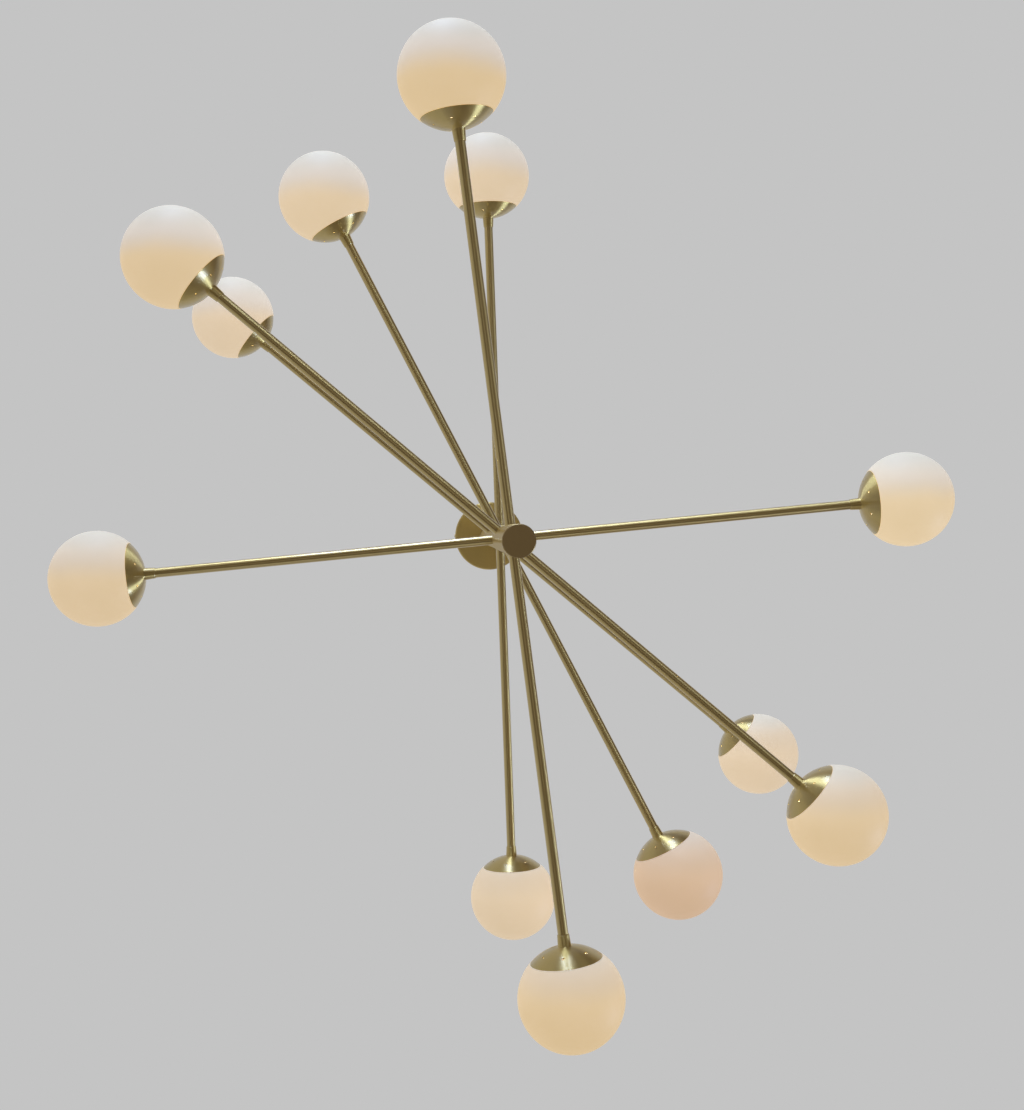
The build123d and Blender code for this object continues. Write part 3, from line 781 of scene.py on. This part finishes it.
floor = sheet_of("studio_floor", FLOOR_RADIUS, FLOOR_LEVEL)
floor_finish = Finish("floor_paint", Roughness=0.8)
seen = floor_finish.node("LightPath", output=0) + floor_finish.node("LightPath", output=3)
floor_marks = floor_finish.grain(1.5)
coat(floor, floor_finish.show(
    Base_Color=floor_finish.tint(floor_marks, (0.48, 0.48, 0.48), (0.52, 0.52, 0.52)),
    Emission_Color=floor_finish.tint(seen, (0.0, 0.0, 0.0), (0.28, 0.28, 0.28)),
    Emission_Strength=1.0,
))


def for_metal_only(made):
    """Hides a sheet from everything but polished surfaces."""
    made.visible_camera = False
    made.visible_shadow = False
    made.visible_diffuse = False


SHADE_SHEET_RADIUS = 2.3
SHADE_SHEET_LIFT = 0.03

dark_sheet = sheet_of("dark_floor_sheet", SHADE_SHEET_RADIUS, FLOOR_LEVEL + SHADE_SHEET_LIFT)
for_metal_only(dark_sheet)
# Painted shade: the sheet's colour is emitted, not lit, so that polished metal facing down reflects
# dark. Near the middle, under the column, it turns lighter, a painted pool of light in those
# reflections.
floor_shade_finish = Finish("painted_floor_shade", Roughness=0.9)
off_middle = floor_shade_finish.node("VectorMath", {"operation": "LENGTH"}, {0: floor_shade_finish.place()}, output=1)
painted_light_middle = floor_shade_finish.step(off_middle + floor_shade_finish.grain(2.0) * 0.1, 0.9, 0.35)
coat(dark_sheet, floor_shade_finish.show(
    Base_Color=(0.02, 0.02, 0.02),
    Emission_Color=floor_shade_finish.tint(painted_light_middle, (0.105, 0.080, 0.068), (0.42, 0.39, 0.33)),
    Emission_Strength=1.0,
))

CURTAIN_RADIUS = 7.5
CURTAIN_TOP = 4.6
CURTAIN_START = -84            # degrees from +X
CURTAIN_SPAN = 172
CURTAIN_STEPS = 48

curtain_mesh = bmesh.new()
curtain_edges = []
for step in range(CURTAIN_STEPS + 1):
    a = math.radians(CURTAIN_START + CURTAIN_SPAN * step / CURTAIN_STEPS)
    spot = (CURTAIN_RADIUS * math.cos(a), CURTAIN_RADIUS * math.sin(a))
    curtain_edges.append([curtain_mesh.verts.new((*spot, z)) for z in (FLOOR_LEVEL, CURTAIN_TOP)])
for near, far in zip(curtain_edges, curtain_edges[1:]):
    curtain_mesh.faces.new((near[0], far[0], far[1], near[1]))
curtain = bpy.data.objects.new("painted_shade_curtain", settle(curtain_mesh, "painted_shade_curtain"))
bpy.context.scene.collection.objects.link(curtain)
for_metal_only(curtain)
# Painted shade: the curtain's colour is emitted, not lit, so that polished metal reflects dark beside
# the soft boxes. The broad noise in it is painted fold shading.
curtain_shade_finish = Finish("painted_curtain_shade", Roughness=0.9)
painted_fold_shade = curtain_shade_finish.grain(0.8, detail=2.0)
coat(curtain, curtain_shade_finish.show(
    Base_Color=(0.02, 0.02, 0.02),
    Emission_Color=curtain_shade_finish.tint(painted_fold_shade, (0.125, 0.100, 0.088), (0.19, 0.155, 0.135)),
    Emission_Strength=1.0,
))


def soft_box(name, spot, aim, width, height, power, colour, for_metal):
    """A lamp behind a diffuser that faces a point, seen only by polished metal or only by the rest."""
    lamp = bpy.data.lights.new(name, "AREA")
    lamp.shape = "RECTANGLE"
    lamp.size = width
    lamp.size_y = height
    lamp.energy = power
    lamp.color = colour
    made = bpy.data.objects.new(name, lamp)
    made.location = spot
    made.rotation_mode = "QUATERNION"
    made.rotation_quaternion = (Vector(aim) - Vector(spot)).to_track_quat("-Z", "Y")
    made.visible_camera = False
    made.visible_glossy = for_metal
    made.visible_diffuse = not for_metal
    bpy.context.scene.collection.objects.link(made)


LAMP_MIDDLE = (0, 0, -1.1)
SKY = (0.52, 0.67, 1.0)

soft_box("daylight_box", (-0.3, -5.0, -0.5), LAMP_MIDDLE, 3.8, 5.0, 130.0, (0.93, 0.97, 1.0), False)
soft_box("daylight_card", (-0.68, -4.95, -0.9), LAMP_MIDDLE, 1.25, 4.4, 233.0, SKY, True)
soft_box("side_card", (5.24, 2.9, -0.75), LAMP_MIDDLE, 1.1, 2.8, 197.0, SKY, True)

BACKGROUND = (0.552, 0.552, 0.552)
AMBIENT = (0.27, 0.26, 0.25)

world = bpy.data.worlds.new("studio")
world.use_nodes = True
bpy.context.scene.world = world
path = world.node_tree.nodes.new("ShaderNodeLightPath")
backdrop = world.node_tree.nodes["Background"]
backdrop.inputs["Color"].default_value = (*BACKGROUND, 1)
ambient = world.node_tree.nodes.new("ShaderNodeBackground")
ambient.inputs["Color"].default_value = (*AMBIENT, 1)
shown_rays = path.outputs["Is Camera Ray"]
for rays in ("Is Glossy Ray", "Is Transmission Ray"):
    either = world.node_tree.nodes.new("ShaderNodeMath")
    either.operation = "MAXIMUM"
    world.node_tree.links.new(shown_rays, either.inputs[0])
    world.node_tree.links.new(path.outputs[rays], either.inputs[1])
    shown_rays = either.outputs[0]
chosen = world.node_tree.nodes.new("ShaderNodeMixShader")
world.node_tree.links.new(shown_rays, chosen.inputs[0])
world.node_tree.links.new(ambient.outputs[0], chosen.inputs[1])
world.node_tree.links.new(backdrop.outputs[0], chosen.inputs[2])
world.node_tree.links.new(chosen.outputs[0], world.node_tree.nodes["World Output"].inputs[0])


# ---- camera -------------------------------------------------------------------------------
# It stands low over the floor, almost straight below the column, and looks up with a slight tilt,
# so that the column is seen end on and the arms spread round it.

CAMERA_SPOT = (-0.0612, -0.0103, -3.1776)
TILT = 0.0154762
LEAN = -0.0341217
FOCAL_LENGTH = 50.757
SENSOR_WIDTH = 36.0

camera = bpy.data.cameras.new("camera")
camera.lens = FOCAL_LENGTH
camera.sensor_width = SENSOR_WIDTH
camera_object = bpy.data.objects.new("camera", camera)
bpy.context.scene.collection.objects.link(camera_object)
image_axes = Matrix.Rotation(TILT, 3, "X") @ Matrix.Rotation(LEAN, 3, "Y")
right, down, ahead = image_axes
looking = Matrix((right, -down, -ahead)).transposed().to_4x4()
camera_object.matrix_world = Matrix.Translation(CAMERA_SPOT) @ looking
bpy.context.scene.camera = camera_object
bpy.context.scene.view_settings.view_transform = "Standard"
